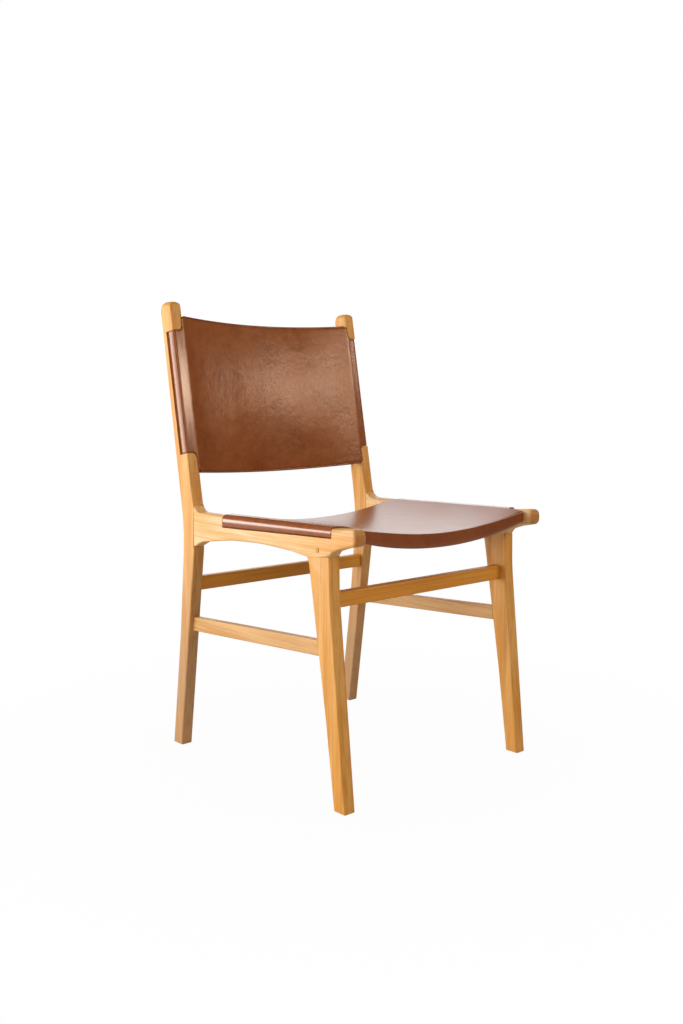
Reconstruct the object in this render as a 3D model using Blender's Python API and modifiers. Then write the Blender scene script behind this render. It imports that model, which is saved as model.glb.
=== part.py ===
# Timber dining chair with a leather seat and back slung between its side frames.
# Metres, +Z up. The chair faces -Y, and its left side, seen from in front of it, is at -X.
# Depths are measured back from the front edge of the front feet.

import math

import bmesh
import bpy
from mathutils import Vector

# Clearance between pieces that touch
GAP = 0.0003

# Overall sizes
OVERALL_HEIGHT = 0.850
OVERALL_WIDTH = 0.4664
SEAT_HEIGHT = 0.4645

# Timber sections and edge rounding
TIMBER = 0.024
EDGE_ROUNDING = 0.003
FOOT_ROUNDING = 0.001
TOP_ROUNDING = 0.0112
ROUNDING_STEPS = 3
ARC_STEP = math.radians(12)
ARC_STEPS_LEAST = 4

# Front leg
FRONT_FOOT_DEPTH = 0.0265
FRONT_JOINT_DEPTH = 0.0370
FRONT_JOINT_LENGTH = 0.0555
FRONT_JOINT_DROP = 0.0478
FRONT_JOINT_FALL = 0.0058
FRONT_EDGE_SHARES = ((0.973, 0.852, 0.96),)
REAR_EDGE_SHARES = ((0.932, 0.973, 0.049), (0.326, 0.377, 3.65))

# Back leg, with depths behind the joint between it and the rail
REAR_JOINT_DEPTH = 0.4165
REAR_FOOT_SET = 0.052
REAR_FOOT_DEPTH = 0.028
LEG_SHOULDER = 0.009
LEG_SHOULDER_ROUNDING = 0.060
POST_LEAN = 0.0685
POST_TOP_DEPTH = 0.0346
POST_FRONT_ROUNDING = 0.0095
POST_BACK_ROUNDING = 0.0175
KNEE_SET = 0.0328
KNEE_DROP = 0.0425
KNEE_RADIUS = 0.380
CALF_SHARES = (0.386, 0.521, 1.66)

# Seat rail, with drops below the seat height
NOSE_REACH = 0.0255
NOSE_RISE = 0.0030
NOSE_HEIGHT = 0.0280
NOSE_ROUNDING = 0.011
NOSE_UNDER_SHARES = ((0.908, 0.627, 0.235), (0.546, 0.293, 1.34))
RAIL_TOP_START = 0.022
RAIL_TOP_END_SHARE = 0.785
RAIL_TOP_DROP = 0.0011
RAIL_TOP_FALL = 0.0042
RAIL_TOP_ROUNDING = 0.005
RAIL_TOP_BEND = 0.300
RAIL_MIDDLE_DROP = 0.044
RAIL_REAR_DROP = 0.0705
SWEEP_BEND = 0.024
ARCH_SHARES = ((0.925, 1.34, 0.185), (0.641, 1.068, 0.93), (0.378, 1.0, 1.85), (0.116, 1.10, 0.93))

# Stretchers, with drops below the seat height
SIDE_STRETCHER_THICKNESS = 0.014
SIDE_STRETCHER_HEIGHT = 0.027
SIDE_STRETCHER_INSET = 0.009
SIDE_STRETCHER_DROP = 0.1997
SIDE_STRETCHER_FALL = 0.0208
CROSS_STRETCHER_THICKNESS = 0.016
CROSS_STRETCHER_HEIGHT = 0.0265
FRONT_STRETCHER_DROP = 0.1225
FRONT_STRETCHER_INSET = 0.0138
BACK_STRETCHER_DROP = 0.1445
BACK_STRETCHER_INSET = 0.0067
STRETCHER_ROUNDING = 0.0025

# Tenons, pegs and dowels
TENON_THICKNESS = 0.008
TENON_HEIGHT = 0.016
TENON_DEPTH = 0.010
TENON_ROOT = 0.004
LEG_TENON_WIDTH = 0.034
LEG_TENON_RISE = 0.0205
PEG_DIAMETER = 0.007
PEG_LENGTH = 0.020
PEG_RISE = 0.0115
PEG_SIDES = 20
DOWEL_DIAMETER = 0.008
DOWEL_LENGTH = 0.044
DOWEL_DROPS = (0.0165, 0.0500)
DOWEL_SIDES = 16

# Leather
LEATHER = 0.0030
LEATHER_SLOT_ROUNDING = 0.0042
SLOT_PASS = 0.0015
CUT_PASS = 0.0030
RECESS_END_CLEARANCE = 0.0012
UNDER_LEATHER_INSET = 0.0017
REST_OVERLAP = 0.0038
REST_EASE = 0.008
SEAT_NOTCH_INSET = 0.0022
BACK_NOTCH_OVERLAP = 0.0020
NOTCH_CORNER = 0.003
NOTCH_HOLLOW = 0.009
NOTCH_PASS = 0.0004
PAD_SIDE_INSET = 0.0052
BAND_SIDE_INSET = 0.0042
BAND_ROLL = 0.007
BAND_FLANGE = 0.012
PAD_CHAMFER = 0.006
PAD_CLEARANCE = 0.0007

# Seat panel
SEAT_LIFT = 0.0028
SEAT_SAG = 0.0245
SEAT_CORNER_DROOP = 0.0050
SEAT_OUTER_ROUNDING = 0.009
SEAT_PANEL_DEPTH = 0.0255
SEAT_SIDE_DEPTH = 0.0205
SEAT_UNDER_BEND_SHARE = 4.0
SEAT_FREE_FRONT = -0.008
SEAT_FREE_REAR_SHARE = 0.809
SEAT_WRAP_FRONT = 0.033
SEAT_WRAP_REAR_INSET = 0.011
SEAT_STRIP_FRONT = 0.0189
SEAT_STRIP_REAR = 0.0238
SEAT_SLOT_MARGIN = 0.0019

# Back panel, measured along the raked post
BACK_SAG = 0.028
BACK_OUTER_ROUNDING = 0.006
BACK_PANEL_DEPTH = 0.014
BACK_SIDE_DEPTH = 0.0205
BACK_REAR_BEND_SHARE = 3.0
BACK_FREE_TOP_DROP = 0.0264
BACK_PANEL_SHARE = 0.7575
BACK_WRAP_TOP_INSET = 0.0280
BACK_WRAP_BOTTOM_INSET = 0.0375
BACK_EDGE_DIP = 0.0035
BACK_STRIP = 0.0215
BACK_SLOT_MARGIN = 0.0032

# Steps along the leather panels
SLING_STEPS = 8
NOTCH_STEPS = 4
CORNER_STEPS = 3
OUTER_STEPS = 4
DROOP_STEPS = 3
DROOP_BEND_SHARE = 4.0
DROOP_END = 0.006
HALF_STATIONS = 10

# Derived places
SIDE_FACE = OVERALL_WIDTH / 2
INNER_FACE = SIDE_FACE - TIMBER
FRAME_CENTRE = SIDE_FACE - TIMBER / 2
RAIL_TOP_END = REAR_JOINT_DEPTH * RAIL_TOP_END_SHARE
SEAT_FREE_REAR = REAR_JOINT_DEPTH * SEAT_FREE_REAR_SHARE
HALF_TURN = math.pi
RIGHT_ANGLE = math.pi / 2
SIDES = (("left", -1), ("right", 1))


def clear_scene():
    for item in list(bpy.data.objects):
        bpy.data.objects.remove(item, do_unlink=True)


def make_collection(name):
    group = bpy.data.collections.new(name)
    bpy.context.scene.collection.children.link(group)
    return group


def make_material(name, colour, roughness, metallic=0.0):
    material = bpy.data.materials.new(name)
    material.use_nodes = True
    shader = material.node_tree.nodes["Principled BSDF"]
    shader.inputs["Base Color"].default_value = (*colour, 1.0)
    shader.inputs["Roughness"].default_value = roughness
    shader.inputs["Metallic"].default_value = metallic
    material.diffuse_color = (*colour, 1.0)
    return material


def between(start, end, share):
    return start + (end - start) * share


def line_depth_at(start, end, height):
    """Depth of the straight line from start to end at a height."""
    return between(start[0], end[0], (height - start[1]) / (end[1] - start[1]))


def crossing(start, end, level, slope):
    """Where a leg's straight edge meets a line that starts at level over the front feet."""
    depth = line_depth_at(start, end, level)
    for _ in range(6):
        depth = line_depth_at(start, end, level + slope * depth)
    return depth, level + slope * depth


def rounded_outline(corners):
    """Points of an outline whose corners are (depth, height, radius)."""
    points = []
    for index, (depth, height, radius) in enumerate(corners):
        here = Vector((depth, height))
        if radius == 0:
            points.append(here)
            continue
        following = corners[(index + 1) % len(corners)]
        to_last = (Vector(corners[index - 1][:2]) - here).normalized()
        to_next = (Vector(following[:2]) - here).normalized()
        half = to_last.angle(to_next) / 2
        start = here + to_last * (radius / math.tan(half))
        centre = here + (to_last + to_next).normalized() * (radius / math.sin(half))
        turn = HALF_TURN - 2 * half
        steps = max(ARC_STEPS_LEAST, round(turn / ARC_STEP))
        spoke = start - centre
        sign = 1 if to_last.x * to_next.y - to_last.y * to_next.x < 0 else -1
        for step in range(steps + 1):
            angle = sign * turn * step / steps
            turned = Vector((
                spoke.x * math.cos(angle) - spoke.y * math.sin(angle),
                spoke.x * math.sin(angle) + spoke.y * math.cos(angle),
            ))
            points.append(centre + turned)
    return points


# Key points of the side frame, as (depth, height)
FRONT_JOINT_FRONT = (FRONT_JOINT_DEPTH, SEAT_HEIGHT - FRONT_JOINT_DROP)
FRONT_JOINT_BACK = (
    FRONT_JOINT_DEPTH + FRONT_JOINT_LENGTH,
    SEAT_HEIGHT - FRONT_JOINT_DROP - FRONT_JOINT_FALL,
)
POST_BEND = (REAR_JOINT_DEPTH, SEAT_HEIGHT)
POST_TOP_FRONT = (REAR_JOINT_DEPTH + POST_LEAN, OVERALL_HEIGHT)
POST_TOP_BACK = (POST_TOP_FRONT[0] + POST_TOP_DEPTH, OVERALL_HEIGHT)
KNEE = (REAR_JOINT_DEPTH + KNEE_SET, SEAT_HEIGHT - KNEE_DROP)
REAR_FOOT_FRONT = (REAR_JOINT_DEPTH + REAR_FOOT_SET, 0)
REAR_FOOT_BACK = (REAR_FOOT_FRONT[0] + REAR_FOOT_DEPTH, 0)
LEG_SHOULDER_POINT = (REAR_JOINT_DEPTH, SEAT_HEIGHT - RAIL_REAR_DROP - LEG_SHOULDER)


def front_leg_back_edge():
    """Corners of the front leg's back edge, from the rail down to the foot."""
    lean = FRONT_JOINT_BACK[0] - FRONT_FOOT_DEPTH
    return [
        (FRONT_FOOT_DEPTH + lean * along, FRONT_JOINT_BACK[1] * up, FRONT_JOINT_BACK[1] * bend)
        for along, up, bend in REAR_EDGE_SHARES
    ]


def front_leg_outline():
    front_edge = [
        (FRONT_JOINT_FRONT[0] * along, FRONT_JOINT_FRONT[1] * up, FRONT_JOINT_FRONT[1] * bend)
        for along, up, bend in FRONT_EDGE_SHARES
    ]
    corners = [(0, 0, 0)]
    corners += front_edge
    corners += [(*FRONT_JOINT_FRONT, 0), (*FRONT_JOINT_BACK, 0)]
    corners += front_leg_back_edge()
    corners += [(FRONT_FOOT_DEPTH, 0, 0)]
    return rounded_outline(corners)


def back_leg_outline():
    along, up, bend = CALF_SHARES
    calf_height = KNEE[1] * up
    calf_depth = between(KNEE[0], REAR_FOOT_BACK[0], along)
    meeting, behind = split_sweep(REAR_JOINT_DEPTH)[1:]
    corners = [
        (*REAR_FOOT_FRONT, 0),
        (*LEG_SHOULDER_POINT, LEG_SHOULDER_ROUNDING),
        (REAR_JOINT_DEPTH, SEAT_HEIGHT - RAIL_REAR_DROP, 0),
        (*meeting, 0),
    ]
    corners += [(*point, 0) for point in behind]
    corners += [
        (*POST_TOP_FRONT, POST_FRONT_ROUNDING),
        (*POST_TOP_BACK, POST_BACK_ROUNDING),
        (*KNEE, KNEE_RADIUS),
        (calf_depth, calf_height, KNEE[1] * bend),
        (*REAR_FOOT_BACK, 0),
    ]
    return rounded_outline(corners)


def rail_top(depth):
    """Height of the rail's straight top edge at a depth."""
    share = (depth - RAIL_TOP_START) / (RAIL_TOP_END - RAIL_TOP_START)
    return SEAT_HEIGHT - RAIL_TOP_DROP - RAIL_TOP_FALL * share


def split_sweep(depth):
    """The curve from the rail's top edge into the post's front edge, split at a depth.

    It gives the points in front, without those that are too near for the edge rounding to end
    before the depth, then the point at the depth and the points behind.
    """
    level = rail_top(RAIL_TOP_END)
    corner = (line_depth_at(POST_BEND, POST_TOP_FRONT, level), level, SWEEP_BEND)
    ends = ((RAIL_TOP_END, level, 0), (*POST_TOP_FRONT, 0))
    points = rounded_outline([ends[0], corner, ends[1]])[1:-1]
    before = [point for point in points if point.x < depth]
    behind = [point for point in points if point.x > depth]
    share = (depth - before[-1].x) / (behind[0].x - before[-1].x)
    meeting = before[-1].lerp(behind[0], share)
    return [point for point in before if point.x < depth - EDGE_ROUNDING], meeting, behind


def rail_outline():
    nose_top = SEAT_HEIGHT + NOSE_RISE
    nose_bottom = nose_top - NOSE_HEIGHT
    joint_front = (FRONT_JOINT_FRONT[0], FRONT_JOINT_FRONT[1] + GAP)
    joint_back = (FRONT_JOINT_BACK[0], FRONT_JOINT_BACK[1] + GAP)
    rear = REAR_JOINT_DEPTH - GAP
    before, meeting, _ = split_sweep(rear)
    arch_length = rear - joint_back[0]
    reach = joint_front[0] + NOSE_REACH
    fall = nose_bottom - joint_front[1]
    corners = [
        (-NOSE_REACH, nose_top, NOSE_ROUNDING),
        (RAIL_TOP_START, rail_top(RAIL_TOP_START), RAIL_TOP_BEND),
        (RAIL_TOP_END, rail_top(RAIL_TOP_END), 0),
    ]
    corners += [(*point, 0) for point in before]
    corners += [(*meeting, 0), (rear, SEAT_HEIGHT - RAIL_REAR_DROP, 0)]
    for along, deep, bend in ARCH_SHARES:
        corners.append((
            joint_back[0] + arch_length * along,
            SEAT_HEIGHT - RAIL_MIDDLE_DROP * deep,
            arch_length * bend,
        ))
    corners += [(*joint_back, 0), (*joint_front, 0)]
    for along, down, bend in NOSE_UNDER_SHARES:
        corners.append((-NOSE_REACH + reach * along, nose_bottom - fall * down, reach * bend))
    corners.append((-NOSE_REACH, nose_bottom, NOSE_ROUNDING))
    return rounded_outline(corners)


def leg_edge_rounding(depth, height):
    """Rounding of a leg's long edges, which stops at the joints and at the domed top."""
    if height < FOOT_ROUNDING:
        return FOOT_ROUNDING
    on_joint = abs(depth - REAR_JOINT_DEPTH) < GAP
    if on_joint and SEAT_HEIGHT - RAIL_REAR_DROP < height < SEAT_HEIGHT:
        return 0
    if height > OVERALL_HEIGHT - EDGE_ROUNDING:
        return 0
    return EDGE_ROUNDING


def front_leg_edge_rounding(depth, height):
    if height < FOOT_ROUNDING:
        return FOOT_ROUNDING
    if depth > FRONT_JOINT_FRONT[0] and height > FRONT_JOINT_BACK[1] - GAP:
        return 0
    return EDGE_ROUNDING


def rail_edge_rounding(depth, height):
    """Rounding of a rail's long edges: full at the nose and top, as the legs' at the rear."""
    upper = height > SEAT_HEIGHT - NOSE_HEIGHT / 2
    if depth < RAIL_TOP_START and not upper:
        share = (depth + NOSE_REACH) / (RAIL_TOP_START + NOSE_REACH)
        return between(RAIL_TOP_ROUNDING, EDGE_ROUNDING, share)
    if FRONT_JOINT_FRONT[0] < depth < FRONT_JOINT_BACK[0] and height < FRONT_JOINT_FRONT[1]:
        return 0
    if depth > REAR_JOINT_DEPTH - 2 * GAP:
        return 0
    sweep_start = split_sweep(REAR_JOINT_DEPTH)[0][0].x
    share = (depth - RAIL_TOP_END) / (sweep_start - RAIL_TOP_END)
    share = min(max(share, 0), 1)
    return between(RAIL_TOP_ROUNDING, EDGE_ROUNDING, share) if upper else EDGE_ROUNDING


def solid_from_outline(name, outline, thickness, rotation, location):
    """A flat board with the given outline, as one closed mesh."""
    curve = bpy.data.curves.new(name, "CURVE")
    curve.dimensions = "2D"
    curve.fill_mode = "BOTH"
    curve.extrude = thickness / 2
    spline = curve.splines.new("POLY")
    spline.points.add(len(outline) - 1)
    for point, place in zip(spline.points, outline):
        point.co = (place.x, place.y, 0, 1)
    spline.use_cyclic_u = True
    flat = bpy.data.objects.new(name + "_outline", curve)
    flat.rotation_euler = rotation
    flat.location = location
    CUTTERS.objects.link(flat)
    bpy.context.view_layer.update()
    graph = bpy.context.evaluated_depsgraph_get()
    mesh = bpy.data.meshes.new_from_object(flat.evaluated_get(graph))
    bm = bmesh.new()
    bm.from_mesh(mesh)
    bmesh.ops.remove_doubles(bm, verts=bm.verts, dist=GAP / 10)
    for side in (-1, 1):
        caps = [face for face in bm.faces if face.normal.z * side > 0.99]
        bmesh.ops.dissolve_faces(bm, faces=caps)
    bmesh.ops.recalc_face_normals(bm, faces=bm.faces)
    bm.to_mesh(mesh)
    bm.free()
    mesh.name = name
    solid = bpy.data.objects.new(name, mesh)
    solid.matrix_world = flat.matrix_world
    bpy.data.objects.remove(flat, do_unlink=True)
    return solid


def round_edges(solid, widths):
    """Round each edge by its own width, given as a function of the edge."""
    mesh = solid.data
    widest = max(widths(edge) for edge in mesh.edges)
    weights = mesh.attributes.new("bevel_weight_edge", "FLOAT", "EDGE")
    for edge in mesh.edges:
        weights.data[edge.index].value = widths(edge) / widest
    bevel = solid.modifiers.new("rounded_edges", "BEVEL")
    bevel.limit_method = "WEIGHT"
    bevel.width = widest
    bevel.segments = ROUNDING_STEPS
    bevel.use_clamp_overlap = False
    return bevel


def round_rims(solid, rounding):
    """Round the edges along both faces of a board, by a width for each place."""
    mesh = solid.data

    def width(edge):
        first, last = (mesh.vertices[index].co for index in edge.vertices)
        if first.z * last.z < 0:
            return 0
        middle = (first + last) / 2
        return rounding(middle.x, middle.y)

    return round_edges(solid, width)


def finish(solid, material, smooth=True):
    """Add a piece to the chair."""
    solid.data.materials.clear()
    solid.data.materials.append(material)
    if smooth:
        solid.data.shade_smooth()
        solid.data.set_sharp_from_angle(angle=math.radians(40))
    PARTS.objects.link(solid)
    solid.parent = ROOT
    return solid


def as_cutter(solid):
    solid.hide_render = True
    solid.display_type = "WIRE"
    CUTTERS.objects.link(solid)
    solid.parent = ROOT
    return solid


def combine(solid, other, operation):
    modifier = solid.modifiers.new(other.name, "BOOLEAN")
    modifier.operation = operation
    modifier.solver = "EXACT"
    modifier.object = other


def box(name, size, location, tilt=0.0):
    bm = bmesh.new()
    bmesh.ops.create_cube(bm, size=1)
    bmesh.ops.scale(bm, vec=Vector(size), verts=bm.verts)
    mesh = bpy.data.meshes.new(name)
    bm.to_mesh(mesh)
    bm.free()
    solid = bpy.data.objects.new(name, mesh)
    solid.location = location
    solid.rotation_euler = (tilt, 0, 0)
    return solid


def rod(name, diameter, length, location, rotation, sides):
    bm = bmesh.new()
    bmesh.ops.create_cone(
        bm,
        cap_ends=True,
        segments=sides,
        radius1=diameter / 2,
        radius2=diameter / 2,
        depth=length,
    )
    mesh = bpy.data.meshes.new(name)
    bm.to_mesh(mesh)
    bm.free()
    solid = bpy.data.objects.new(name, mesh)
    solid.location = location
    solid.rotation_euler = rotation
    return solid


def grown(size):
    return tuple(length + 2 * GAP for length in size)


def board(name, outline, thickness, across):
    """A board that stands in the chair's side plane, centred across the chair."""
    rotation = (RIGHT_ANGLE, 0, RIGHT_ANGLE)
    return solid_from_outline(name, outline, thickness, rotation, (across, 0, 0))


def tenon(name, size, location, tilt, holder, sockets):
    """A tenon joined to its holder, and the socket for it in each other piece."""
    combine(holder, as_cutter(box(name, size, location, tilt)), "UNION")
    socket = as_cutter(box(name + "_socket", grown(size), location, tilt))
    for piece in sockets:
        combine(piece, socket, "DIFFERENCE")


def pin(name, diameter, length, location, rotation, sides, pieces):
    """A pin, and the hole for it in each piece that it goes into."""
    solid = rod(name, diameter, length, location, rotation, sides)
    hole_size = (diameter + 2 * GAP, length + 2 * GAP)
    hole = as_cutter(rod(name + "_hole", *hole_size, location, rotation, sides))
    for piece in pieces:
        combine(piece, hole, "DIFFERENCE")
    return finish(solid, WOOD_PIN)


def build_side_frame(word, side):
    """Legs, rail, side stretcher, pegs and dowels of one side."""
    across = side * FRAME_CENTRE
    front_leg = board("front_leg_" + word, front_leg_outline(), TIMBER, across)
    round_rims(front_leg, front_leg_edge_rounding)
    back_leg = board("back_leg_" + word, back_leg_outline(), TIMBER, across)
    round_rims(back_leg, leg_edge_rounding)
    combine(back_leg, as_cutter(dome_form(word, across)), "INTERSECT")
    rail = board("seat_rail_" + word, rail_outline(), TIMBER, across)
    round_rims(rail, rail_edge_rounding)

    joint_depth = between(FRONT_JOINT_FRONT[0], FRONT_JOINT_BACK[0], 0.5)
    joint_height = between(FRONT_JOINT_FRONT[1], FRONT_JOINT_BACK[1], 0.5)
    tenon_root = FRONT_JOINT_FALL + TENON_ROOT
    tenon_size = (TENON_THICKNESS, LEG_TENON_WIDTH, LEG_TENON_RISE + tenon_root)
    tenon_height = joint_height + (LEG_TENON_RISE - tenon_root) / 2
    tenon_place = (across, joint_depth, tenon_height)
    tenon("front_leg_tenon_" + word, tenon_size, tenon_place, 0, front_leg, [rail])

    peg_place = (side * (SIDE_FACE - PEG_LENGTH / 2), joint_depth, joint_height + PEG_RISE)
    pin("joint_peg_" + word, PEG_DIAMETER, PEG_LENGTH, peg_place, (0, RIGHT_ANGLE, 0), PEG_SIDES,
        [rail, front_leg])
    for level, drop in zip(("upper", "lower"), DOWEL_DROPS):
        place = (across, REAR_JOINT_DEPTH, SEAT_HEIGHT - drop)
        pin("rail_dowel_" + word + "_" + level, DOWEL_DIAMETER, DOWEL_LENGTH, place,
            (RIGHT_ANGLE, 0, 0), DOWEL_SIDES, [rail, back_leg])

    build_side_stretcher(word, side, front_leg, back_leg)
    return front_leg, back_leg, rail


def dome_form(word, across):
    """A wide block with the back leg's rounded head, as seen from the front."""
    half = TIMBER / 2
    low = -OVERALL_WIDTH
    outline = rounded_outline([
        (-half - GAP, low, 0),
        (half + GAP, low, 0),
        (half + GAP, OVERALL_HEIGHT, TOP_ROUNDING),
        (-half - GAP, OVERALL_HEIGHT, TOP_ROUNDING),
    ])
    place = (across, REAR_JOINT_DEPTH, 0)
    rotation = (RIGHT_ANGLE, 0, 0)
    return solid_from_outline("post_dome_" + word, outline, OVERALL_HEIGHT, rotation, place)


def build_side_stretcher(word, side, front_leg, back_leg):
    """The low stretcher from the front leg's back edge to the back leg's front edge."""
    thigh, shin = front_leg_back_edge()
    front_edge = (shin, thigh)
    rear_edge = (REAR_FOOT_FRONT, LEG_SHOULDER_POINT)
    slope = -SIDE_STRETCHER_FALL / REAR_JOINT_DEPTH
    level = SEAT_HEIGHT - SIDE_STRETCHER_DROP
    half = SIDE_STRETCHER_HEIGHT / 2
    corners = []
    for edge, shift, rises in ((front_edge, GAP, (-half, half)), (rear_edge, -GAP, (half, -half))):
        for rise in rises:
            depth, height = crossing(*edge, level + rise, slope)
            corners.append((depth + shift, height, 0))
    across = side * (SIDE_FACE - SIDE_STRETCHER_INSET - SIDE_STRETCHER_THICKNESS / 2)
    name = "side_stretcher_" + word
    stretcher = board(name, rounded_outline(corners), SIDE_STRETCHER_THICKNESS, across)

    def rounding(depth, height):
        start = max(corners[0][0], corners[1][0])
        end = min(corners[2][0], corners[3][0])
        return STRETCHER_ROUNDING if start < depth < end else 0

    round_rims(stretcher, rounding)
    tilt = math.atan(slope)
    size = (TENON_THICKNESS, TENON_DEPTH + TENON_ROOT, TENON_HEIGHT)
    for end, edge, toward, leg in (("front", front_edge, -1, front_leg), ("rear", rear_edge, 1, back_leg)):
        depth, height = crossing(*edge, level, slope)
        shift = toward * (TENON_DEPTH - TENON_ROOT) / 2
        place = (across, depth + shift, height + slope * shift)
        tenon(name + "_tenon_" + end, size, place, tilt, stretcher, [leg])
    finish(stretcher, WOOD_STRETCHER)


def build_cross_stretcher(name, level, front_depth, legs):
    """A stretcher from one side frame to the other."""
    length = 2 * (INNER_FACE - GAP)
    place = (0, front_depth + CROSS_STRETCHER_THICKNESS / 2, level)
    size = (length, CROSS_STRETCHER_THICKNESS, CROSS_STRETCHER_HEIGHT)
    stretcher = box(name, size, place)
    mesh = stretcher.data

    def width(edge):
        first, last = (mesh.vertices[index].co for index in edge.vertices)
        return STRETCHER_ROUNDING if abs(first.x - last.x) > STRETCHER_ROUNDING else 0

    round_edges(stretcher, width)
    tenon_size = (TENON_DEPTH + TENON_ROOT, TENON_THICKNESS, TENON_HEIGHT)
    for (word, side), leg in zip(SIDES, legs):
        across = side * (INNER_FACE + (TENON_DEPTH - TENON_ROOT) / 2)
        tenon(name + "_tenon_" + word, tenon_size, (across, place[1], level), 0, stretcher, [leg])
    finish(stretcher, WOOD_STRETCHER)


class Panel:
    """A padded leather panel slung between two bars.

    A place on it is given by its distance across the chair, its distance along the bars and its
    drop, which is measured square to the bars' covered faces, from the leather's outer face.
    """

    rest = INNER_FACE + REST_OVERLAP
    tangent = rest - REST_EASE
    under_edge = INNER_FACE - SLOT_PASS - UNDER_LEATHER_INSET

    def __init__(self, name, locate, rounding, sag, droop, depths, under_bend, free, wrap, strips,
                 dip, notch_start):
        self.name = name
        self.locate = locate
        self.rounding = rounding
        self.sag = sag
        self.droop = droop
        self.depths = depths
        self.under_bend = under_bend
        self.free = free
        self.wrap = wrap
        self.strips = strips
        self.dip = dip
        self.notch_start = notch_start
        self.curve = sag / (self.tangent * self.rest)

    def strip(self, along):
        """Height of the strip of leather that shows on a bar's outer face."""
        share = (along - self.wrap[0]) / (self.wrap[1] - self.wrap[0])
        return between(*self.strips, share)

    def corner_drop(self, across, along):
        """How far the panel droops at a place near the corners of its first free end."""
        loose = max(0, (self.wrap[0] - along) / (self.wrap[0] - self.free[0]))
        return self.droop * loose ** 2 * (across / self.rest) ** DROOP_BEND_SHARE

    def front_drop(self, across, along):
        """Drop of the covering leather: a hanging curve that eases onto the bar's flat face."""
        droop = self.corner_drop(across, along)
        across = abs(across)
        if across < self.tangent:
            return self.sag - self.curve * across ** 2 + droop
        ease = max(0, self.rest - across) ** 2 / (self.rest - self.tangent)
        return self.curve * self.tangent * ease + droop

    def back_drop(self, across, along):
        """Drop of the under leather's outer face."""
        share = (abs(across) / self.under_edge) ** self.under_bend
        return self.front_drop(across, along) + between(*self.depths, share)

    def rows(self, start, end):
        """Places along the bars from start to end, closer together where the corners droop."""
        if self.droop == 0:
            return [start, end]
        held = self.wrap[0] + DROOP_END
        return [between(start, held, step / DROOP_STEPS) for step in range(DROOP_STEPS + 1)] + [end]

    def free_ends(self, across):
        """Where the panel's two free edges run, dipping towards the middle."""
        dip = self.dip * max(0, 1 - (across / self.notch_start) ** 2)
        return self.free[0] - dip, self.free[1] - dip

    def notched(self, across, free, wrapped, spread):
        """An end of the covering leather: free, round a corner, then in a hollow to the bar."""
        room = abs(wrapped - free)
        toward = (wrapped - free) / room
        share = min(1, room / (NOTCH_CORNER + NOTCH_HOLLOW))
        corner = NOTCH_CORNER * share
        hollow = NOTCH_HOLLOW * share
        beyond = abs(across) - self.notch_start - spread
        if beyond < NOTCH_PASS / 2:
            reach = min(max(beyond + corner, 0), corner)
            return free + toward * (corner - math.sqrt(corner ** 2 - reach ** 2))
        reach = min(max(hollow + NOTCH_PASS - beyond, 0), hollow)
        return wrapped - toward * (hollow - math.sqrt(hollow ** 2 - reach ** 2))

    def wrap_ends(self, across, spread):
        """Both ends of the covering leather at a place across the chair."""
        start, end = self.free_ends(across)
        start = self.notched(across, start + LEATHER + GAP, self.wrap[0], spread)
        end = self.notched(across, end - LEATHER - GAP, self.wrap[1], spread)
        return start - spread, end + spread

    def wrap_path(self, slot_end, spread):
        """The covering leather's outer face across the chair, as (across, turn, strip share)."""
        crest = SIDE_FACE - self.rounding
        corner_start = self.notch_start + spread - NOTCH_CORNER
        hollow_start = self.notch_start + spread + NOTCH_PASS
        places = [corner_start * step / SLING_STEPS for step in range(SLING_STEPS)]
        turns = [RIGHT_ANGLE * step / NOTCH_STEPS for step in range(NOTCH_STEPS + 1)]
        places += [corner_start + NOTCH_CORNER * math.sin(turn) for turn in turns]
        places += [hollow_start + NOTCH_HOLLOW * (1 - math.cos(turn)) for turn in turns]
        places.append(crest)
        path = [(across, 0, 0) for across in places]
        for step in range(1, OUTER_STEPS + 1):
            angle = RIGHT_ANGLE * step / OUTER_STEPS
            turn = self.rounding * (1 - math.cos(angle))
            path.append((crest + self.rounding * math.sin(angle), turn, 0))
        for step in range(CORNER_STEPS + 1):
            angle = RIGHT_ANGLE * step / CORNER_STEPS
            across = SIDE_FACE - LEATHER_SLOT_ROUNDING * (1 - math.cos(angle))
            path.append((across, -LEATHER_SLOT_ROUNDING * (1 - math.sin(angle)), 1))
        path.append((slot_end, 0, 1))
        mirrored = [(-across, turn, share) for across, turn, share in reversed(path[1:])]
        return mirrored + path

    def covering(self, name, slot_end, outward, inward, spread):
        """A sheet along the wrapped path, with a thickness to each side of its outer face."""
        path = self.wrap_path(slot_end, spread)
        row_count = len(self.rows(*self.free)) - 1

        def place(column, row):
            across, turn, share = path[column]
            ends = self.wrap_ends(SIDE_FACE if share else across, spread)
            along = self.rows(*ends)[row]
            drop = self.strip(along) if share else self.front_drop(across, along)
            return self.locate(across, along, turn + drop)

        return sheet(name, len(path) - 1, row_count, place, False, outward, inward)

    def under_leather(self, name):
        across_places = stations(self.under_edge)
        hem = BAND_ROLL + BAND_FLANGE + GAP
        row_count = len(self.rows(*self.free)) - 1

        def place(column, row):
            across = across_places[column]
            start, end = self.free_ends(across)
            along = self.rows(start + hem, end - hem)[row]
            return self.locate(across, along, self.back_drop(across, along))

        return sheet(name, len(across_places) - 1, row_count, place, True, 0, LEATHER)

    def band(self, name, end):
        """The strip round a free edge: flat, then rolled under, then flat against the pad."""
        toward = 1 if end else -1
        across_places = stations(INNER_FACE - BAND_SIDE_INSET)
        profile = []
        for step in range(CORNER_STEPS + 1):
            angle = RIGHT_ANGLE * step / CORNER_STEPS
            profile.append((BAND_ROLL * (1 - math.cos(angle)), BAND_ROLL * (1 - math.sin(angle))))
        profile.append((BAND_ROLL + BAND_FLANGE, 0))

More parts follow.
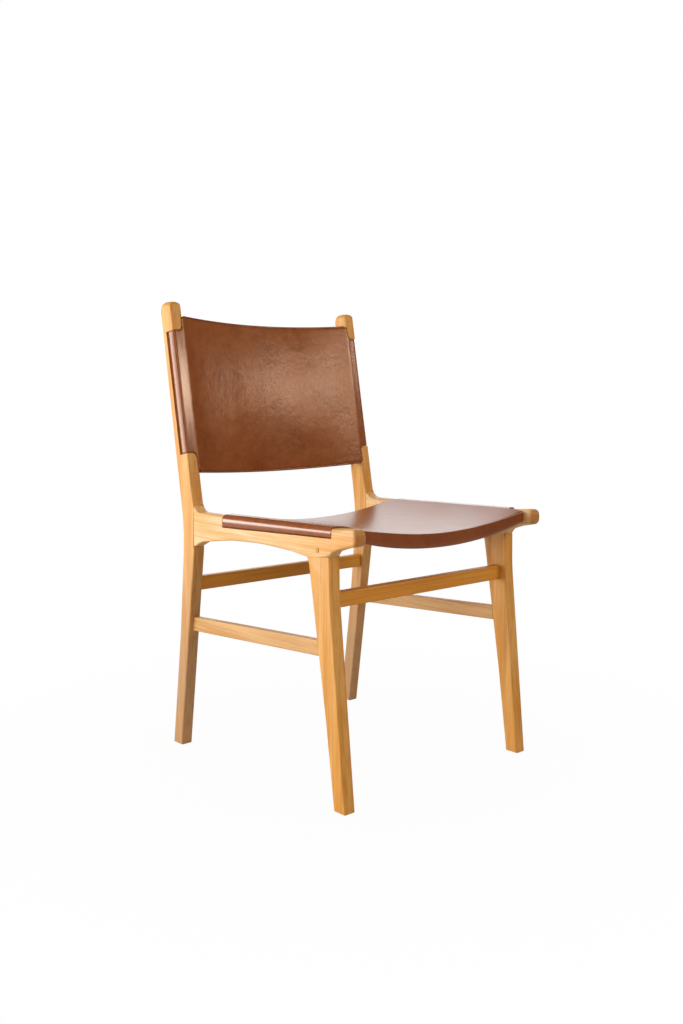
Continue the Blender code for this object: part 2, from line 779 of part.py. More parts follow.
        def place(column, row):
            across = across_places[column]
            edge = self.free_ends(across)[end]
            if row == 0:
                return self.locate(across, edge, self.front_drop(across, edge))
            inset, rise = profile[row - 1]
            along = edge - toward * inset
            return self.locate(across, along, self.back_drop(across, along) - rise)

        return sheet(name, len(across_places) - 1, len(profile), place, toward < 0, 0, LEATHER)

    def pad(self, name):
        """The padding between the leathers, as rings of points joined across the chair."""
        rings = []
        for across in stations(INNER_FACE - PAD_SIDE_INSET):
            start, end = self.free_ends(across)
            start += LEATHER + GAP
            end -= LEATHER + GAP
            top_slope = 2 * self.curve * abs(across)
            reach = abs(across) / self.under_edge
            widening = (self.depths[1] - self.depths[0]) * self.under_bend / self.under_edge
            low_slope = top_slope - widening * reach ** (self.under_bend - 1)
            skin = LEATHER + PAD_CLEARANCE
            top_skin = skin * math.hypot(1, top_slope)
            low_skin = skin * math.hypot(1, low_slope)
            top = [(along, self.front_drop(across, along) + top_skin) for along in self.rows(start, end)]
            low = [
                (along, self.back_drop(across, along) - low_skin)
                for along in self.rows(start + PAD_CHAMFER, end - PAD_CHAMFER)
            ]
            low_end = (end, low[-1][1] - PAD_CHAMFER)
            low_start = (start, low[0][1] - PAD_CHAMFER)
            section = top + [low_end] + low[::-1] + [low_start]
            rings.append([self.locate(across, along, drop) for along, drop in section])
        return joined_rings(name, rings)

    def build(self, bars, names, slot_margin):
        """All pieces of the panel, and its recess and slot in the bars."""
        slot_end = INNER_FACE - SLOT_PASS
        cover = self.covering(names["cover"], slot_end, 0, LEATHER, 0)
        finish(cover, LEATHER_MATERIAL)
        cutter = self.covering(
            self.name + "_recess",
            slot_end - CUT_PASS,
            slot_margin,
            LEATHER + GAP,
            RECESS_END_CLEARANCE,
        )
        as_cutter(cutter)
        for bar in bars:
            combine(bar, cutter, "DIFFERENCE")
        finish(self.under_leather(names["under"]), LEATHER_MATERIAL)
        for end, name in enumerate(names["bands"]):
            finish(self.band(name, end), LEATHER_EDGE)
        finish(self.pad(names["pad"]), FOAM, smooth=False)


def stations(half_width):
    """Places across a panel, closer together towards its sides."""
    steps = range(-HALF_STATIONS, HALF_STATIONS + 1)
    return [half_width * math.sin(RIGHT_ANGLE * step / HALF_STATIONS) for step in steps]


def sheet(name, columns, rows, place, flip, outward, inward):
    """A sheet over a grid of places, thickened outward and inward from it."""
    bm = bmesh.new()
    bmesh.ops.create_grid(bm, x_segments=columns, y_segments=rows, size=1)
    for vertex in bm.verts:
        column = round((vertex.co.x + 1) / 2 * columns)
        row = round((vertex.co.y + 1) / 2 * rows)
        vertex.co = place(column, row)
    if flip:
        bmesh.ops.reverse_faces(bm, faces=bm.faces)
    mesh = bpy.data.meshes.new(name)
    bm.to_mesh(mesh)
    bm.free()
    solid = bpy.data.objects.new(name, mesh)
    shell = solid.modifiers.new("thickness", "SOLIDIFY")
    shell.thickness = outward + inward
    shell.offset = 2 * outward / (outward + inward) - 1
    shell.use_even_offset = True
    return solid


def joined_rings(name, rings):
    """A closed body through rings of points, with flat ends."""
    bm = bmesh.new()
    loops = [[bm.verts.new(place) for place in ring] for ring in rings]
    count = len(rings[0])
    for first, second in zip(loops, loops[1:]):
        for index in range(count):
            after = (index + 1) % count
            bm.faces.new((first[index], first[after], second[after], second[index]))
    bm.faces.new(loops[0])
    bm.faces.new(loops[-1])
    bmesh.ops.recalc_face_normals(bm, faces=bm.faces)
    mesh = bpy.data.meshes.new(name)
    bm.to_mesh(mesh)
    bm.free()
    return bpy.data.objects.new(name, mesh)


def seat_place(across, along, drop):
    """A place on the seat, which stands a little proud of the rails."""
    return Vector((across, along, rail_top(along) + SEAT_LIFT - drop))


def back_place(across, along, drop):
    """A place on the back panel, along the raked posts from their bend."""
    lean = Vector((POST_TOP_FRONT[0] - POST_BEND[0], POST_TOP_FRONT[1] - POST_BEND[1])).normalized()
    depth = POST_BEND[0] + lean.x * along + lean.y * drop
    height = POST_BEND[1] + lean.y * along - lean.x * drop
    return Vector((across, depth, height))


def centre_chair():
    """Put the middle of the chair's whole depth over the origin."""
    bpy.context.view_layer.update()
    depths = [
        (piece.matrix_world @ vertex.co).y
        for piece in PARTS.objects
        if piece.type == "MESH"
        for vertex in piece.data.vertices
    ]
    ROOT.location.y = -(min(depths) + max(depths)) / 2


def build_seat(rails):
    panel = Panel(
        "seat", seat_place, SEAT_OUTER_ROUNDING, SEAT_SAG, SEAT_CORNER_DROOP,
        (SEAT_PANEL_DEPTH, SEAT_SIDE_DEPTH), SEAT_UNDER_BEND_SHARE,
        (SEAT_FREE_FRONT, SEAT_FREE_REAR),
        (SEAT_WRAP_FRONT, SEAT_FREE_REAR - SEAT_WRAP_REAR_INSET),
        (SEAT_STRIP_FRONT, SEAT_STRIP_REAR), 0, INNER_FACE - SEAT_NOTCH_INSET,
    )
    names = {
        "cover": "seat_leather_upper",
        "under": "seat_leather_lower",
        "bands": ("seat_edge_front", "seat_edge_rear"),
        "pad": "seat_pad",
    }
    panel.build(rails, names, SEAT_SLOT_MARGIN)


def build_back(legs):
    post_length = math.dist(POST_BEND, POST_TOP_FRONT)
    free_top = post_length - BACK_FREE_TOP_DROP
    free_bottom = free_top - post_length * BACK_PANEL_SHARE
    panel = Panel(
        "back", back_place, BACK_OUTER_ROUNDING, BACK_SAG, 0,
        (BACK_PANEL_DEPTH, BACK_SIDE_DEPTH), BACK_REAR_BEND_SHARE,
        (free_bottom, free_top), (free_bottom + BACK_WRAP_BOTTOM_INSET, free_top - BACK_WRAP_TOP_INSET),
        (BACK_STRIP, BACK_STRIP), BACK_EDGE_DIP, INNER_FACE + BACK_NOTCH_OVERLAP,
    )
    names = {
        "cover": "back_leather_front",
        "under": "back_leather_rear",
        "bands": ("back_edge_bottom", "back_edge_top"),
        "pad": "back_pad",
    }
    panel.build(legs, names, BACK_SLOT_MARGIN)


clear_scene()
PARTS = make_collection("dining_chair")
CUTTERS = make_collection("cutters")
ROOT = bpy.data.objects.new("chair_centre", None)
PARTS.objects.link(ROOT)

WOOD_LEG = make_material("oiled_timber_leg", (0.70, 0.38, 0.13), 0.42)
WOOD_RAIL = make_material("oiled_timber_rail", (0.78, 0.47, 0.19), 0.42)
WOOD_STRETCHER = make_material("oiled_timber_stretcher", (0.66, 0.35, 0.12), 0.45)
WOOD_PIN = make_material("timber_pin", (0.58, 0.30, 0.10), 0.5)
LEATHER_MATERIAL = make_material("saddle_leather", (0.22, 0.085, 0.035), 0.35)
LEATHER_EDGE = make_material("edge_leather", (0.17, 0.055, 0.02), 0.38)
FOAM = make_material("padding", (0.72, 0.68, 0.58), 0.9)

front_legs = []
back_legs = []
rails = []
for word, side in SIDES:
    front_leg, back_leg, rail = build_side_frame(word, side)
    front_legs.append(front_leg)
    back_legs.append(back_leg)
    rails.append(rail)

front_edge_share, front_height_share, _ = FRONT_EDGE_SHARES[0]
front_edge_top = (FRONT_JOINT_FRONT[0] * front_edge_share, FRONT_JOINT_FRONT[1] * front_height_share)
front_level = SEAT_HEIGHT - FRONT_STRETCHER_DROP
front_depth = line_depth_at((0, 0), front_edge_top, front_level) + FRONT_STRETCHER_INSET
build_cross_stretcher("front_stretcher", front_level, front_depth, front_legs)
back_level = SEAT_HEIGHT - BACK_STRETCHER_DROP
back_depth = line_depth_at(REAR_FOOT_FRONT, LEG_SHOULDER_POINT, back_level) + BACK_STRETCHER_INSET
build_cross_stretcher("back_stretcher", back_level, back_depth, back_legs)

build_seat(rails)
build_back(back_legs)
for leg in front_legs + back_legs:
    finish(leg, WOOD_LEG)
for rail in rails:
    finish(rail, WOOD_RAIL)
centre_chair()
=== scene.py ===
# Timber dining chair with a leather seat and back: finishes, leather work, light and camera.
# Metres, +Z up. The chair faces -Y. Depths are measured back from the front edge of the front feet.

import math

import bpy
from mathutils import Matrix, Vector, noise


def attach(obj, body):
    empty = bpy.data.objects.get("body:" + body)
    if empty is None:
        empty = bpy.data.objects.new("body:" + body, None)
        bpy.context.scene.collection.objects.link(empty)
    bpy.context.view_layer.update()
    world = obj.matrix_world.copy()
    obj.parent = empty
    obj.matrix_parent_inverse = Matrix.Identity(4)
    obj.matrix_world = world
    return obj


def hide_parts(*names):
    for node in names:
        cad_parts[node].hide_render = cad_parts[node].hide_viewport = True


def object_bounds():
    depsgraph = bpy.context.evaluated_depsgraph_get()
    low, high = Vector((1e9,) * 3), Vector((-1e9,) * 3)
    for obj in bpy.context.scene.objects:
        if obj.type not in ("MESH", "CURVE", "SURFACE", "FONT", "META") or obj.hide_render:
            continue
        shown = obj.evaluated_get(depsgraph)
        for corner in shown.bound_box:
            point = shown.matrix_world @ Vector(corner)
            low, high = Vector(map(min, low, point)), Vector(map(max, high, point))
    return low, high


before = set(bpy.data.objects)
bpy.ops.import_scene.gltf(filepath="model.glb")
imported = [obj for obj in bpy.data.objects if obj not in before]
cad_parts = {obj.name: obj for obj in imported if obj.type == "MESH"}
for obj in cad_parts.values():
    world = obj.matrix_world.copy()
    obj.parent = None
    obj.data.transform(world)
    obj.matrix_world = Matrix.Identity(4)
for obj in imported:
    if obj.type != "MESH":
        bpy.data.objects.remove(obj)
cad_low, cad_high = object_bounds()

# Sizes of the timber frame
SEAT_HEIGHT = 0.4645
TIMBER = 0.024
NOSE_REACH = 0.0255
RAIL_TOP_START = 0.022
RAIL_TOP_END = 0.327
RAIL_TOP_DROP = 0.0011
RAIL_TOP_FALL = 0.0042
REAR_JOINT_DEPTH = 0.4165
POST_LEAN = 0.0685
SIDE_FACE = cad_high.x
INNER_FACE = SIDE_FACE - TIMBER
ORIGIN_DEPTH = cad_low.y + NOSE_REACH
POST_BEND = Vector((REAR_JOINT_DEPTH, SEAT_HEIGHT))
POST_TOP = Vector((REAR_JOINT_DEPTH + POST_LEAN, cad_high.z))
POST_LENGTH = (POST_TOP - POST_BEND).length
POST_LINE = (POST_TOP - POST_BEND).normalized()

# Sizes of the leather work
LEATHER = 0.0030
GAP = 0.0003
WELD = GAP / 20
CUT_EDGE = 0.0006
SLOT_ROUNDING = 0.0032
STRIP_SWELL = 0.0006
SLOT_PASS = 0.0015
REST_OVERLAP = 0.0038
REST_EASE = 0.008
NOTCH_CORNER = 0.003
NOTCH_HOLLOW = 0.009
NOTCH_PASS = 0.0004
DROOP_BEND = 4.0
BAND_ROLL = 0.007
BAND_FLANGE = 0.012
BAND_INSET = 0.0042
LINING_INSET = 0.0017
LINING_WIDTH = 0.42
LINING_SHORTER = 2 * (BAND_ROLL + BAND_FLANGE)
PAD_INSET = 0.0052
PAD_GAP = 0.0007
PAD_EDGE = 0.006
SEAT_LIFT = 0.0028
SEAT_NOTCH_INSET = 0.0022
BACK_NOTCH_PASS = 0.0020
BACK_TOP = POST_LENGTH - 0.0264
BACK_BOTTOM = BACK_TOP - POST_LENGTH * 0.7575
BACK_STRIP_BOTTOM = BACK_BOTTOM + 0.0375
BACK_STRIP_TOP = BACK_TOP - 0.0280

# Unevenness of the hide: heights, and the rates at which they change across and along
BROAD_HEIGHT = 0.00045
BROAD_RATE = (13, 11)
SMALL_HEIGHT = 0.00014
SMALL_RATE = (38, 30)
SMALL_SEED = 5
UNEVEN_FADE = 0.12

RIGHT_ANGLE = math.pi / 2

# Angles past which an edge is creased or, where hide is cut, bevelled
TIMBER_CREASE = math.radians(38)
LEATHER_CREASE = math.radians(50)
CUT_ANGLE = math.radians(55)

# Steps of the leather work's grids
COVER_ROWS = 72
LINING_ROWS = 48
PANEL_STEPS = 28
BED_STEPS = 40
NOTCH_STEPS = 8
CREST_STEPS = 4
STRIP_STEPS = 18
EDGE_STEPS = 6
ROLL_STEPS = 8
FLANGE_STEPS = 3
PAD_CUTS = 31


def deselect_all():
    bpy.ops.object.select_all(action="DESELECT")


def take_up(piece):
    """Make a piece the only selected object, and the active one."""
    deselect_all()
    piece.select_set(True)
    bpy.context.view_layer.objects.active = piece


def weld(piece):
    """Merge a piece's doubled points and turn its faces outwards."""
    take_up(piece)
    bpy.ops.object.mode_set(mode="EDIT")
    bpy.ops.mesh.select_all(action="SELECT")
    bpy.ops.mesh.remove_doubles(threshold=WELD)
    bpy.ops.mesh.normals_make_consistent(inside=False)
    bpy.ops.object.mode_set(mode="OBJECT")


def apply_all(piece):
    take_up(piece)
    for modifier in list(piece.modifiers):
        bpy.ops.object.modifier_apply(modifier=modifier.name)


def settle(piece, name, material, slot, node):
    """Name a finished piece, give it its finish and fix it to the chair in its solid's place."""
    piece.name = name
    piece.data.name = name
    piece.data.materials.clear()
    piece.data.materials.append(material)
    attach(piece, "root")
    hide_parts(node)
    return piece


def between(start, end, share):
    return start + (end - start) * share


# Shader maths
STILL = (0.0, 0.0, 0.0)
EVEN = (1.0, 1.0, 1.0)

# Numbers of the sockets that a Mix node has for colours
MIX_FIRST = 6
MIX_SECOND = 7
MIX_RESULT = 2


class Value:
    """A socket of a shader, which adds Math nodes where it stands in a sum."""

    def __init__(self, board, socket):
        self.board = board
        self.socket = socket

    def maths(self, operation, *values):
        return self.board.add("ShaderNodeMath", {"operation": operation}, *values)

    def __add__(self, other):
        return self.maths("ADD", self, other)

    def __sub__(self, other):
        return self.maths("SUBTRACT", self, other)

    def __rsub__(self, other):
        return self.maths("SUBTRACT", other, self)

    def __mul__(self, other):
        return self.maths("MULTIPLY", self, other)

    def __pow__(self, other):
        return self.maths("POWER", self, other)

    def __abs__(self):
        return self.maths("ABSOLUTE", self)

    __radd__ = __add__
    __rmul__ = __mul__

    def sine(self):
        return self.maths("SINE", self)

    def length_with(self, other):
        return (self * self + other * other) ** 0.5

    def within(self, low, high):
        """0 at low, 1 at high, and straight in between."""
        return self.board.add("ShaderNodeMapRange", {"clamp": True}, self, low, high, 0.0, 1.0)


class Board:
    """A node tree that nodes are added to."""

    def __init__(self, tree):
        self.tree = tree

    def add(self, kind, settings, *values, output=0, numbered=None, **named):
        """A node with its settings, and with values or links in its sockets.

        The values go into the first sockets, and those that numbered and named hold go into
        the sockets of those numbers and names.
        """
        node = self.tree.nodes.new(kind)
        for key, setting in settings.items():
            setattr(node, key, setting)
        sockets = dict(enumerate(values))
        sockets.update(numbered or {})
        sockets.update({key.replace("_", " "): value for key, value in named.items()})
        for key, value in sockets.items():
            self.feed(node.inputs[key], value)
        return Value(self, node.outputs[output])

    def feed(self, socket, value):
        if isinstance(value, Value):
            self.tree.links.new(value.socket, socket)
        else:
            socket.default_value = value

    def camera_ray(self):
        return self.add("ShaderNodeLightPath", {}, output="Is Camera Ray")


class Surface(Board):
    """A material whose pattern is built from nodes."""

    def __init__(self, name):
        self.material = bpy.data.materials.new(name)
        self.material.use_nodes = True
        super().__init__(self.material.node_tree)
        self.shader = self.tree.nodes["Principled BSDF"]

    def mapped(self, place=STILL, turn=STILL, stretch=EVEN):
        """The piece's own coordinates, moved, turned and then stretched."""
        source = self.add("ShaderNodeTexCoord", {}, output="Object")
        turned = self.add("ShaderNodeMapping", {}, source, place, turn)
        return self.add("ShaderNodeVectorMath", {"operation": "MULTIPLY"}, turned, stretch)

    def axis(self, place, index):
        return self.add("ShaderNodeSeparateXYZ", {}, place, output=index)

    def noise(self, place, scale=1.0, detail=2.0, roughness=0.5, distortion=0.0):
        return self.add(
            "ShaderNodeTexNoise",
            {},
            Vector=place,
            Scale=scale,
            Detail=detail,
            Roughness=roughness,
            Distortion=distortion,
        )

    def blend(self, share, first, second):
        """A colour between two others."""
        colours = {MIX_FIRST: first, MIX_SECOND: second}
        settings = {"data_type": "RGBA"}
        return self.add("ShaderNodeMix", settings, share, output=MIX_RESULT, numbered=colours)

    def bump(self, height, strength, distance, under=None):
        named = {"Strength": strength, "Distance": distance, "Height": height}
        if under:
            named["Normal"] = under
        return self.add("ShaderNodeBump", {}, **named)

    def finish(self, **named):
        for key, value in named.items():
            self.feed(self.shader.inputs[key.replace("_", " ")], value)
        return self.material


# Timber finish: how fast each pattern changes across and along the fibres, and how much it shows
SWAY = {"across": 12.0, "lengthwise": 1.8, "detail": 2.0}
FIBRES = {"across": 620.0, "lengthwise": 9.0, "detail": 3.0, "roughness": 0.6}
PORES = {"across": 1500.0, "lengthwise": 42.0, "detail": 1.0}
CLOUDS = {"across": 48.0, "lengthwise": 4.2, "detail": 3.0}
STREAKS = {"across": 230.0, "lengthwise": 4.5, "detail": 2.0}
FIBRE_RANGE = (0.3, 0.7)
PORE_RANGE = (0.60, 0.72)
CLOUD_RANGE = (0.40, 0.63)
STREAK_RANGE = (0.47, 0.70)
RING_RATE = 1500.0
RING_SWAY = 26.0
RING_SHARPNESS = 2.0
FIBRE_TONE = 0.28
CLOUD_TONE = 0.62
RING_TONE = 0.10
END_TONE = 0.85
PORE_LINES = 0.24
STREAK_LINES = 0.38
RING_LINES = 0.06
TIMBER_ROUGHNESS = 0.42
FIBRE_ROUGHNESS = 0.12
RING_POLISH = 0.04
FIBRE_HEIGHT = 0.6
PORE_DEPTH = 0.8
TIMBER_SHINE = 0.38


def timber(name, along, pale, warm, dark, shift, pith, ends=None):
    """Oiled timber with fine fibres, pores and soft growth rings along one axis.

    Where ends are given, it changes between two coordinates on that axis to another colour,
    and they are the first coordinate, the second one and the colour.
    """
    surface = Surface(name)
    turn = {"X": (0.0, -RIGHT_ANGLE, 0.0), "Y": (RIGHT_ANGLE, 0.0, 0.0), "Z": STILL}[along]

    def grain(across, lengthwise, detail, roughness=0.5):
        place = surface.mapped(shift, turn, (across, across, lengthwise))
        return surface.noise(place, detail=detail, roughness=roughness)

    board = surface.mapped(shift, turn)
    radius = (surface.axis(board, 0) + pith[0]).length_with(surface.axis(board, 1) + pith[1])
    rings = (radius * RING_RATE + grain(**SWAY) * RING_SWAY).sine() * 0.5 + 0.5
    late = rings ** RING_SHARPNESS
    fibres = grain(**FIBRES)
    pores = grain(**PORES).within(*PORE_RANGE)
    cloud = grain(**CLOUDS).within(*CLOUD_RANGE)
    streak = grain(**STREAKS).within(*STREAK_RANGE)

    tone = cloud * CLOUD_TONE + late * RING_TONE + fibres.within(*FIBRE_RANGE) * FIBRE_TONE
    colour = surface.blend(tone, pale, warm)
    # Towards given ends the colour changes: on the back legs that is a painted shade, on the rails'
    # noses it is end grain
    if ends:
        start, full, tint = ends
        place = surface.axis(surface.mapped(), "XYZ".index(along))
        colour = surface.blend(place.within(start, full) * END_TONE, colour, tint)
    lines = pores * PORE_LINES + late * RING_LINES + streak * STREAK_LINES
    colour = surface.blend(lines, colour, dark)

    roughness = fibres * FIBRE_ROUGHNESS + TIMBER_ROUGHNESS - late * RING_POLISH
    height = fibres * FIBRE_HEIGHT - pores * PORE_DEPTH
    bump = surface.bump(height, strength=0.12, distance=0.0004)
    surface.finish(Base_Color=colour, Roughness=roughness, Normal=bump)
    return surface.finish(Specular_IOR_Level=TIMBER_SHINE)


# Leather finish: the hide's patterns, how much they show, and how it changes over the bars
HIDE_CLOUDS = {"scale": 11.0, "detail": 3.0, "roughness": 0.55, "distortion": 0.3}
MOTTLE = {"scale": 70.0, "detail": 4.0, "roughness": 0.6, "distortion": 0.4}
PEBBLE = {"scale": 190.0, "detail": 3.0, "roughness": 0.6}
CELL_SCALE = 820.0
HIDE_CLOUD_RANGE = (0.32, 0.68)
MOTTLE_RANGE = (0.35, 0.7)
MOTTLE_TONE = 0.34
HIDE_CLOUD_ROUGHNESS = 0.08
MOTTLE_ROUGHNESS = 0.10
TAUT_POLISH = 0.08
HIDE_CLOUD_HEIGHT = 1.4
MOTTLE_HEIGHT = 0.8
PEBBLE_HEIGHT = 0.30
FINE_PEBBLE = 0.5
LARGE_RELIEF = 0.30
HIDE_TINT = (1.0, 0.77, 0.62, 1.0)
BED_EDGE = INNER_FACE + REST_OVERLAP
BED_FADE = (BED_EDGE + 0.004, BED_EDGE - 0.006)
# Where the painted shade on the covers' rolls round the bars' edges fades in
RIM_SHADE_FADE = (SIDE_FACE - 0.009, SIDE_FACE - 0.006)
COAT_FADE = 0.004


def leather(
    name, deep, light, shift, wear, relief,
    gloss=0.24, shine=0.42, rim=0.0, coat=0.0, coat_start=None, coat_roughness=0.16,
):
    """Polished hide with a fine grain and soft mottling.

    A cover's hide has its coat from coat_start outwards, a distance across the chair. It is
    smoother where it lies on the bars, and darker by its rim where it rolls round their edges and
    down their outer faces, which is a painted shade.
    """
    surface = Surface(name)
    place = surface.mapped(shift)
    clouds = surface.noise(place, **HIDE_CLOUDS)
    mottle = surface.noise(place, **MOTTLE)
    pebble = surface.noise(place, **PEBBLE)
    cells = surface.add("ShaderNodeTexVoronoi", {"feature": "F1"}, Vector=place, Scale=CELL_SCALE)

    tone = clouds.within(*HIDE_CLOUD_RANGE) * wear + mottle.within(*MOTTLE_RANGE) * MOTTLE_TONE
    colour = surface.blend(tone, deep, light)
    roughness = gloss + clouds * HIDE_CLOUD_ROUGHNESS + mottle * MOTTLE_ROUGHNESS
    height = clouds * HIDE_CLOUD_HEIGHT + mottle * MOTTLE_HEIGHT + pebble * PEBBLE_HEIGHT
    if coat_start:
        across = abs(surface.axis(surface.mapped(), 0))
        loose = across.within(*BED_FADE)
        # Painted shade: darker towards deep, by rim, where the hide rolls round the bars' edges
        colour = surface.blend(across.within(*RIM_SHADE_FADE) * rim, colour, deep)
        roughness = roughness - (1.0 - loose) * TAUT_POLISH
        height = height * loose
        coat = across.within(coat_start, coat_start + COAT_FADE) * coat

    large = surface.bump(height, strength=LARGE_RELIEF * relief, distance=0.0016)
    fine = surface.bump(cells + pebble * FINE_PEBBLE, strength=0.07, distance=0.00035, under=large)
    surface.finish(Base_Color=colour, Roughness=roughness, Normal=fine)
    surface.finish(Specular_IOR_Level=shine, Specular_Tint=HIDE_TINT)
    return surface.finish(Coat_Weight=coat, Coat_Roughness=coat_roughness)


# Felt of the pads
FELT_TINT = (0.45, 0.40, 0.33, 1.0)
FELT_FIBRES = {"scale": 900.0, "detail": 4.0, "roughness": 0.7, "distortion": 1.5}
FELT_SHADE = 0.7
FELT_ROUGHNESS = (0.85, 0.95)


def felt(name):
    surface = Surface(name)
    fibre = surface.noise(surface.mapped(), **FELT_FIBRES)
    darker = tuple(channel * FELT_SHADE for channel in FELT_TINT[:3]) + (1.0,)
    colour = surface.blend(fibre, darker, FELT_TINT)
    bump = surface.bump(fibre, strength=0.4, distance=0.0005)
    roughness = between(*FELT_ROUGHNESS, fibre)
    return surface.finish(Base_Color=colour, Roughness=roughness, Normal=bump)


# Colours of the timber
CREAM = (0.86, 0.600, 0.320, 1.0)
PALE = (0.79, 0.415, 0.110, 1.0)
HONEY = (0.74, 0.315, 0.035, 1.0)
AMBER = (0.64, 0.242, 0.016, 1.0)
DUN = (0.68, 0.400, 0.165, 1.0)
UMBER = (0.56, 0.260, 0.060, 1.0)
BROWN = (0.36, 0.135, 0.022, 1.0)
END_GRAIN = (0.42, 0.155, 0.020, 1.0)
# Painted shade: the colour that the back legs darken to towards the floor
PAINTED_LOW_SHADE = (0.48, 0.275, 0.135, 1.0)

# Where the back legs turn darker towards the floor, a painted shade, and where the rails' noses
# show end grain
LOW_LEG_SHADE = (0.46, 0.14, PAINTED_LOW_SHADE)
NOSE_ENDS = (cad_low.y + 0.009, cad_low.y + 0.002, END_GRAIN)


def timber_piece(node, along, pale, warm, slot, pith=(0.0, 0.0), shift=STILL, ends=None):
    """A copy of a timber's solid, with its roundings made smooth."""
    name = "timber_" + node
    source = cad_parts[node]
    piece = source.copy()
    piece.data = source.data.copy()
    for key in list(piece.keys()):
        del piece[key]
    piece.parent = None
    piece.matrix_world = Matrix.Identity(4)
    bpy.context.scene.collection.objects.link(piece)
    weld(piece)
    bpy.ops.object.shade_smooth_by_angle(angle=TIMBER_CREASE)
    even = piece.modifiers.new("even_shading", "WEIGHTED_NORMAL")
    even.mode = "FACE_AREA"
    even.keep_sharp = True
    apply_all(piece)
    material = timber(name + "_finish", along, pale, warm, BROWN, shift, pith, ends)
    return settle(piece, name, material, slot, node)


# Timbers in pairs: node, axis of the fibres, two colours, slot, place of the pith and ends
PAIRED_TIMBERS = (
    ("back_leg", "Z", PALE, AMBER, "timber", (0.055, 0.020), LOW_LEG_SHADE),
    ("front_leg", "Z", PALE, AMBER, "timber", (0.030, 0.048), None),
    ("seat_rail", "Y", CREAM, HONEY, "rail_timber", (0.052, -0.40), NOSE_ENDS),
    ("side_stretcher", "Y", DUN, UMBER, "stretcher_timber", (0.040, -0.22), None),
)

# Shifts of the grain, so that no two boards look alike
PAIRED_SHIFT = (0.31, 0.17, 0.23)
CROSS_SHIFT = (0.4, 0.2, 0.1)
CROSS_PITH = (0.30, 0.05)

for index, (node, along, pale, warm, slot, pith, ends) in enumerate(PAIRED_TIMBERS):
    for word, side in (("left", -1), ("right", 1)):
        steps = (index, index, side)
        shift = tuple(length * step for length, step in zip(PAIRED_SHIFT, steps))
        timber_piece(f"{node}_{word}", along, pale, warm, slot, pith, shift, ends)
for index, node in enumerate(("front_stretcher", "back_stretcher")):
    shift = (CROSS_SHIFT[0] + index, *CROSS_SHIFT[1:])
    timber_piece(node, "X", HONEY, AMBER, "stretcher_timber", CROSS_PITH, shift)
for word in ("left", "right"):
    timber_piece(f"joint_peg_{word}", "X", PALE, AMBER, "pin_timber")
    for level in ("upper", "lower"):
        timber_piece(f"rail_dowel_{word}_{level}", "Y", HONEY, AMBER, "pin_timber")


# Leather work
def seat_place(across, along, drop):
    """A place on the seat, which stands a little proud of the rails."""
    share = (along - RAIL_TOP_START) / (RAIL_TOP_END - RAIL_TOP_START)
    top = SEAT_HEIGHT - RAIL_TOP_DROP - RAIL_TOP_FALL * share + SEAT_LIFT
    return Vector((across, along + ORIGIN_DEPTH, top - drop))


def back_place(across, along, drop):
    """A place on the back, along the raked posts from their bend."""
    depth = POST_BEND.x + POST_LINE.x * along + POST_LINE.y * drop
    height = POST_BEND.y + POST_LINE.y * along - POST_LINE.x * drop
    return Vector((across, depth + ORIGIN_DEPTH, height))


def waviness(across, along, rate, seed):
    return noise.noise(Vector((across * rate[0], along * rate[1], seed)))


